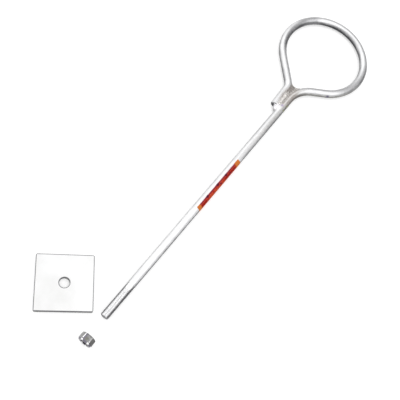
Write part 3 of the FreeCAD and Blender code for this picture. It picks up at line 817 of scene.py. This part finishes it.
# Square plate washer: cut from 8 mm flat bar, punched with one round hole for the rod and galvanised. It lies
# flat on the floor beside the threaded end.
PLATE_SIDE = 100 * MM
PLATE_THICKNESS = 8 * MM
PLATE_CORNER = 2.5 * MM
PLATE_EDGE = 0.6 * MM
PLATE_CENTRE = mm(-717.6, 86.3, -4)
PLATE_TURN = math.radians(-51.2)
HOLE_RADIUS = 9 * MM
ROUNDING_PARTS = 4
CUT_SPARE = 1 * MM              # how far a cutting tool reaches beyond the face that it cuts

bpy.ops.object.select_all(action="DESELECT")
bpy.ops.mesh.primitive_cube_add(size=1)
bpy.context.object.scale = (PLATE_SIDE, PLATE_SIDE, PLATE_THICKNESS)
plate = new_piece("square_plate_washer")
pick(plate, "EDGE", lambda edge: abs(edge.verts[0].co.z - edge.verts[1].co.z) > PLATE_THICKNESS / 2)
bpy.ops.mesh.bevel(offset=PLATE_CORNER, segments=8, affect="EDGES")
pick(plate, "EDGE", lambda edge: abs(edge.verts[0].co.z - edge.verts[1].co.z) < NEAR_NOTHING)
bpy.ops.mesh.bevel(offset=PLATE_EDGE, segments=ROUNDING_PARTS, affect="EDGES")
close_piece()
# The punch widens to both faces of the plate in a quarter of a circle, and so rounds the hole's rims
bpy.ops.mesh.primitive_cylinder_add(vertices=96, radius=HOLE_RADIUS, depth=PLATE_THICKNESS - 2 * PLATE_EDGE)
punch = new_piece("punch")
for side in (-1, 1):
    face_z, radius = PLATE_THICKNESS / 2 - PLATE_EDGE, HOLE_RADIUS
    pick(punch, "FACE", lambda face: face.normal.z * side > 0.9)
    for part in range(1, ROUNDING_PARTS + 1):
        turn = part / ROUNDING_PARTS * math.pi / 2
        new_z = PLATE_THICKNESS / 2 - PLATE_EDGE * (1 - math.sin(turn))
        new_radius = HOLE_RADIUS + PLATE_EDGE * (1 - math.cos(turn))
        extrude(0, 0, side * (new_z - face_z))
        widen = new_radius / radius
        resize((0, 0, side * new_z), widen, widen, 1)
        face_z, radius = new_z, new_radius
    extrude(0, 0, side * CUT_SPARE)
close_piece()
combine(plate, punch, "DIFFERENCE")
plate.rotation_euler = (0, 0, PLATE_TURN)
plate.location = PLATE_CENTRE
settle(plate.name)
smooth(plate, degrees=35)
open_piece(plate)
pick(plate, "FACE", lambda face: abs(face.normal.z) > 0.999)
bpy.ops.mesh.faces_shade_flat()
bpy.ops.object.mode_set(mode="OBJECT")

PLATE_BRIGHT = (0.70, 0.70, 0.705, 1)
PLATE_DULL = (0.61, 0.61, 0.605, 1)
RIM_SHADE = (0.09, 0.09, 0.10, 1)
PLATE_SIDE_SHADE = (0.10, 0.10, 0.10, 1)
RIM_WIDTH = 1.6 * MM

plate_zinc, tree, shader = new_material("plate_zinc")
here = node(tree, "ShaderNodeTexCoord").outputs["Object"]
coat = effect(tree, zinc_coat, Place=here, Bright=PLATE_BRIGHT, Dull=PLATE_DULL, Patches=18.0, Streaks=0.1,
              Smooth=0.38, Rough=0.44)
square = node(tree, "ShaderNodeMapping", {"Vector": here, "Location": PLATE_CENTRE,
                                          "Rotation": (0, 0, PLATE_TURN)}, vector_type="TEXTURE").outputs[0]
square_x, square_y = axes(tree, square)[:2]
reach = maths(tree, "MAXIMUM", maths(tree, "ABSOLUTE", square_x), maths(tree, "ABSOLUTE", square_y))
bore = vectors(tree, "LENGTH", vectors(tree, "MULTIPLY", square, (1, 1, 0)))
# The outer rim and the hole's rim carry painted shade, which also lowers the metallic, and the sides below
# the top are painted darker still, as painted shade
rims = maths(tree, "MAXIMUM", ranged(tree, reach, PLATE_SIDE / 2 - RIM_WIDTH, PLATE_SIDE / 2 - RIM_WIDTH / 2),
             ranged(tree, bore, HOLE_RADIUS + RIM_WIDTH, HOLE_RADIUS + RIM_WIDTH / 2))
rim_shaded = painted(tree, coat["Colour"], RIM_SHADE, rims, 0.95)
sides = effect(tree, shaded_flanks, Place=here, Metal=rim_shaded, Flank=PLATE_SIDE_SHADE, Low=-1.8 * MM,
               High=-0.5 * MM, Ragged=0.5 * MM)
wire(tree, shader, {"Base Color": sides["Colour"], "Roughness": coat["Roughness"],
                    "Metallic": ranged(tree, rims, 0.0, 1.0, 1.0, 0.45)})
bumped(tree, shader, coat["Height"], 0.04 * MM, 0.25)
dress(plate, plate_zinc)
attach(plate, "root")
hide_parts("square_plate")

# Hex nut: forged steel, 24 mm across its flats, chamfered on both faces, tapped to suit the rod's thread and
# zinc coated. It lies on one of its flats, its axis along the rod.
NUT_FLATS = 24 * MM
NUT_HEIGHT = 14.8 * MM
NUT_BORE = 6.92 * MM
NUT_THREAD = 8.0 * MM
NUT_MOUTH = 8.5 * MM
NUT_FACE = 11.4 * MM
NUT_CHAMFER = math.radians(30)
NUT_EDGE = 0.35 * MM
NUT_CENTRE = mm(-768, -6.4, 4)
TURNED_RADIUS = 16 * MM         # of the turned blank that gives the nut its chamfers
SHARP_EDGE = math.radians(12)   # edges sharper than this are rounded

bpy.ops.object.select_all(action="DESELECT")
nut_corners = NUT_FLATS / 2 / math.cos(math.pi / 6)
bpy.ops.mesh.primitive_cylinder_add(vertices=6, radius=nut_corners, depth=NUT_HEIGHT)
nut = settle("zinc_hex_nut")
slope = (TURNED_RADIUS - NUT_FACE) * math.tan(NUT_CHAMFER)
bpy.ops.mesh.primitive_cylinder_add(vertices=96, radius=TURNED_RADIUS, depth=NUT_HEIGHT - 2 * slope)
turned = new_piece("turned")
narrow = NUT_FACE / TURNED_RADIUS
for side in (-1, 1):
    pick(turned, "FACE", lambda face: face.normal.z * side > 0.9)
    extrude(0, 0, side * slope)
    resize((0, 0, side * NUT_HEIGHT / 2), narrow, narrow, 1)
close_piece()
combine(nut, turned, "INTERSECT")
open_piece(nut)
pick(nut, "EDGE", lambda edge: len(edge.link_faces) == 2 and edge.calc_face_angle() > SHARP_EDGE)
bpy.ops.mesh.bevel(offset=NUT_EDGE, segments=3, affect="EDGES", clamp_overlap=True)
close_piece(merge=NEAR_NOTHING)
nut.rotation_euler = (0, math.pi / 2, 0)
settle(nut.name)
tap = threaded_bar("tap", NUT_THREAD, NUT_BORE, NUT_HEIGHT + 4 * THREAD_PITCH)
shift(tap, (-NUT_HEIGHT / 2 - 2 * THREAD_PITCH, 0, 0))
combine(nut, tap, "DIFFERENCE")
mouth_depth = NUT_MOUTH - NUT_BORE + 2 * CUT_SPARE
mouth_x = NUT_HEIGHT / 2 + CUT_SPARE - mouth_depth / 2
for side in (-1, 1):
    bpy.ops.mesh.primitive_cone_add(vertices=96, radius1=NUT_MOUTH + CUT_SPARE, radius2=NUT_BORE - CUT_SPARE,
                                    depth=mouth_depth, location=(side * mouth_x, 0, 0),
                                    rotation=(0, -side * math.pi / 2, 0))
    combine(nut, settle("mouth"), "DIFFERENCE")
shift(nut, NUT_CENTRE)
smooth(nut, degrees=32)

NUT_BRIGHT = (0.28, 0.28, 0.27, 1)
NUT_DULL = (0.11, 0.108, 0.11, 1)
NUT_FLANK_SHADE = (0.09, 0.09, 0.09, 1)
EDGE_HIGHLIGHT = (0.95, 0.95, 0.95, 1)
LIT_FLAT = (0.42, 0.42, 0.415, 1)
GREY_FLAT = (0.25, 0.25, 0.248, 1)
PURPLE_FLAT = (0.13, 0.12, 0.16, 1)
DARK_FLAT = (0.07, 0.07, 0.07, 1)
OLIVE_FLAT = (0.13, 0.13, 0.10, 1)
END_FACE_ZINC = (0.16, 0.155, 0.165, 1)
# Spots, placed from the nut's centre
OLIVE_SPOT = (mm(-1, 0.5, 12), mm(4.5, 3.5, 4), 0.4, 1.1)
GRIME = (mm(4, -7, 12), mm(7.5, 5, 5), 0.6, 1.0)

nut_zinc, tree, shader = new_material("nut_zinc")
sources = node(tree, "ShaderNodeTexCoord").outputs
here, normal = sources["Object"], sources["Normal"]
coat = effect(tree, zinc_coat, Place=here, Bright=NUT_BRIGHT, Dull=NUT_DULL, Patches=150.0, Streaks=0.2,
              Smooth=0.22, Rough=0.40)
spots = effect(tree, stained, Place=here, Metal=coat["Colour"], Stain=PURPLE_STAIN, Size=240.0, Amount=0.5,
               Strength=0.6)
# Painted shade, darker towards the bottom of the nut
sides = effect(tree, shaded_flanks, Place=here, Metal=spots["Colour"], Flank=NUT_FLANK_SHADE, Low=-1 * MM,
               High=15 * MM, Ragged=FLANK_RAGGED)
# The flats facing the rod's left are painted lighter and those facing its right darker, as painted light and
# shade; the top flat has its own tones, the ends are dark, and the edges between the flats carry painted
# highlights, most at the corners
facing = axes(tree, normal)
endwise = maths(tree, "ABSOLUTE", facing["X"])
upward = ranged(tree, facing["Z"], 0.8, 0.95)
centred = vectors(tree, "SUBTRACT", here, NUT_CENTRE)
across = axes(tree, centred)
end_gap = maths(tree, "ADD", across["X"], NUT_HEIGHT / 2)
turn = maths(tree, "DIVIDE", maths(tree, "ARCTAN2", across["Z"], across["Y"]), math.pi / 3)
sixth = maths(tree, "FRACT", maths(tree, "ADD", turn, 6.5))
to_edge = maths(tree, "ABSOLUTE", maths(tree, "SUBTRACT", sixth, 0.5))
colour = painted(tree, sides["Colour"], LIT_FLAT, ranged(tree, facing["Y"], 0.5, 0.8, to_high=0.55))
colour = painted(tree, colour, PURPLE_FLAT, upward, ranged(tree, across["Y"], *mm(1, 5), to_high=0.8))
colour = painted(tree, colour, GREY_FLAT, upward, ranged(tree, across["Y"], *mm(-2, -5), to_high=0.6))
colour = painted(tree, colour, DARK_FLAT, upward,
                 ranged(tree, end_gap, NUT_HEIGHT - 3.5 * MM, NUT_HEIGHT - 1 * MM, to_high=0.5))
colour = painted(tree, colour, DARK_FLAT, ranged(tree, facing["Y"], -0.5, -0.8, to_high=0.55))
colour = painted(tree, colour, OLIVE_FLAT, near_spot(tree, centred, *OLIVE_SPOT), 0.6)
colour = painted(tree, colour, PURPLE_FLAT, ranged(tree, end_gap, *mm(3.4, 2.4), to_high=0.8),
                 ranged(tree, to_edge, 0.12, 0.24))
colour = painted(tree, colour, END_FACE_ZINC, ranged(tree, endwise, 0.9, 0.97))
edge_line_highlight = product(tree, ranged(tree, to_edge, 0.065, 0.035), ranged(tree, end_gap, *mm(3.6, 4.4)))
corner_glint = product(tree, ranged(tree, to_edge, 0.20, 0.12), ranged(tree, end_gap, *mm(2.9, 2.1)))
clean = maths(tree, "MULTIPLY_ADD", near_spot(tree, centred, *GRIME), -0.8, 1.0)
colour = painted(tree, colour, EDGE_HIGHLIGHT, maths(tree, "MAXIMUM", edge_line_highlight, corner_glint),
                 ranged(tree, endwise, 0.95, 0.8), clean)
wire(tree, shader, {"Base Color": colour, "Roughness": coat["Roughness"]})
bumped(tree, shader, coat["Height"], 0.06 * MM, 0.5)
dress(nut, nut_zinc)
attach(nut, "root")
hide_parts("hex_nut")

# Studio: a white floor in a white room, whose soft light comes from high on both sides and from low on the
# rod's left. The camera has the photograph's viewing angle, above and in front of the rod's threaded half.
FLOOR_Z = -8 * MM
FLOOR_GAP = 0.02 * MM           # keeps the floor clear of what lies on it
FLOOR_WIDTH = 60                # metres
FLOOR_GREY = (0.60, 0.60, 0.60, 1)
FLOOR_LIFT = 0.48               # light of its own, which whitens the floor where it is seen or mirrored
LIT_X = -0.3                    # where along the rod the floor is centred and the lamps aim
# The bright parts of the room: azimuth and elevation in degrees, and strength
ROOM_PARTS = ((45, 12, 0.66), (90, 12, 0.76), (135, 12, 0.54), (180, 12, 0.31), (225, 12, 0.30),
              (22, 52, 0.24), (82, 52, 1.00), (202, 52, 0.18), (262, 52, 1.49), (302, 42, 0.55),
              (0, 90, 0.09))
SPREAD = 4.0                    # how soft each bright part is: the power of its cosine
LEAST_LIGHT = 0.01
BACKDROP = (0.06, 0.02)         # slopes at which a mirrored ray starts to meet the backdrop and fully does
# The lamps: name, place, size and power
LAMPS = (("lamp_above", (-0.3, 0.0, 1.6), 0.6, 1.3), ("lamp_far", (0.5, 0.0, 1.6), 0.6, 0.8),
         ("lamp_left", (-0.3, 1.4, 1.8), 1.2, 0.4), ("lamp_far_left", (0.9, 1.1, 1.8), 1.2, 2.1))
CAMERA_PLACE = (-0.96935, -0.09049, 1.18070)
CAMERA_TURN = (21.60899, -11.86930, -52.71620)      # degrees
CAMERA_LENS = 62.77                                 # mm, on a 36 mm sensor

bpy.ops.object.select_all(action="DESELECT")
bpy.ops.mesh.primitive_plane_add(size=FLOOR_WIDTH, location=(LIT_X, 0, FLOOR_Z - FLOOR_GAP))
floor = settle("studio_floor")
paper, tree, shader = new_material("white_paper", metallic=0.0)
seen = node(tree, "ShaderNodeLightPath").outputs
mirrored = maths(tree, "ADD", seen["Is Glossy Ray"], seen["Is Transmission Ray"])
shown = maths(tree, "ADD", seen["Is Camera Ray"], mirrored)
wire(tree, shader, {"Base Color": FLOOR_GREY, "Roughness": 0.9, "Specular IOR Level": 0.0,
                    "Emission Color": (1, 1, 1, 1),
                    "Emission Strength": ranged(tree, shown, 0.0, 1.0, to_high=FLOOR_LIFT)})
dress(floor, paper)

world = bpy.data.worlds.new("white_room")
bpy.context.scene.world = world
world.use_nodes = True
tree = world.node_tree
sky = next(item for item in tree.nodes if item.type == "BACKGROUND")
direction = node(tree, "ShaderNodeTexCoord").outputs["Generated"]
room = LEAST_LIGHT
for azimuth, elevation, strength in ROOM_PARTS:
    outwards = heading(math.radians(azimuth), math.cos(math.radians(elevation)))
    middle_of_part = step(outwards, (0, 0, math.sin(math.radians(elevation))))
    towards = maths(tree, "MAXIMUM", vectors(tree, "DOT_PRODUCT", direction, middle_of_part), 0.0)
    glow = maths(tree, "POWER", towards, SPREAD)
    room = maths(tree, "MULTIPLY_ADD", glow, strength, room)
# A white backdrop stands behind the floor's edge: the camera sees it, and metal shows it near the horizon
seen = node(tree, "ShaderNodeLightPath").outputs
mirrored = maths(tree, "ADD", seen["Is Glossy Ray"], seen["Is Transmission Ray"])
near_horizon = ranged(tree, axes(tree, direction)["Z"], *BACKDROP)
behind = maths(tree, "MULTIPLY_ADD", mirrored, near_horizon, seen["Is Camera Ray"])
room = product(tree, room, maths(tree, "SUBTRACT", 1.0, behind))
wire(tree, sky, {"Color": (1, 1, 1, 1), "Strength": maths(tree, "ADD", room, behind)})

for name, place, size, power in LAMPS:
    bpy.ops.object.light_add(type="AREA", location=place)
    lamp = bpy.context.object
    lamp.name = name
    lamp.data.energy = power
    lamp.data.size = size
    x, y, height = place[0] - LIT_X, place[1], place[2]
    lamp.rotation_euler = (math.atan2(math.hypot(x, y), height), 0, math.atan2(y, x) + math.pi / 2)

bpy.ops.object.camera_add(location=CAMERA_PLACE, rotation=[math.radians(turn) for turn in CAMERA_TURN])
camera = bpy.context.object
camera.data.lens = CAMERA_LENS
camera.data.sensor_width = 36
camera.data.clip_start = 0.01
bpy.context.scene.camera = camera
bpy.context.scene.view_settings.view_transform = "Standard"
